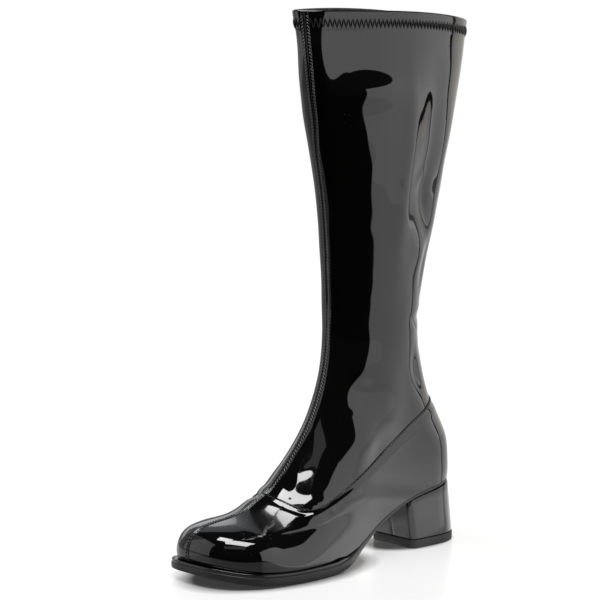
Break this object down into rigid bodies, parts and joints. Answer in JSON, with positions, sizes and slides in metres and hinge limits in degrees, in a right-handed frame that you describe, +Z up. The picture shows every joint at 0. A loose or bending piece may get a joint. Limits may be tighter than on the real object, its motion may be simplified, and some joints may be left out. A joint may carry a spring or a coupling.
{
  "type": "child knee boot",
  "caption": "Child's left knee-high boot in black patent stretch material, with a square-round toe, lapped foot part, raised front seam, folded collar hem and a covered block heel.",
  "frame": {"origin": "on the floor under the middle of the boot's bounding box", "axes": "+X to the outer (left) side of the foot, -Y to the toe, +Z up; the boot stands on its heel and forefoot"},
  "size_m": [0.0834, 0.2378, 0.3625],
  "materials": {
    "outsole": "satin black moulded sole edge, dull underside",
    "welt": "glossy black moulded lip",
    "heel_block": "covered in glossy black patent material",
    "heel_top_piece": "matt black rubber",
    "insole": "matt brown sock",
    "upper": "mirror-bright black patent",
    "shaft": "mirror-bright black stretch patent"
  },
  "bodies": {
    "root": {"outsole": "outsole", "welt": "welt", "heel_block": "heel_block", "heel_top_piece": "heel_top_piece", "insole": "insole", "upper": "upper", "shaft": "shaft"}
  },
  "joints": []
}
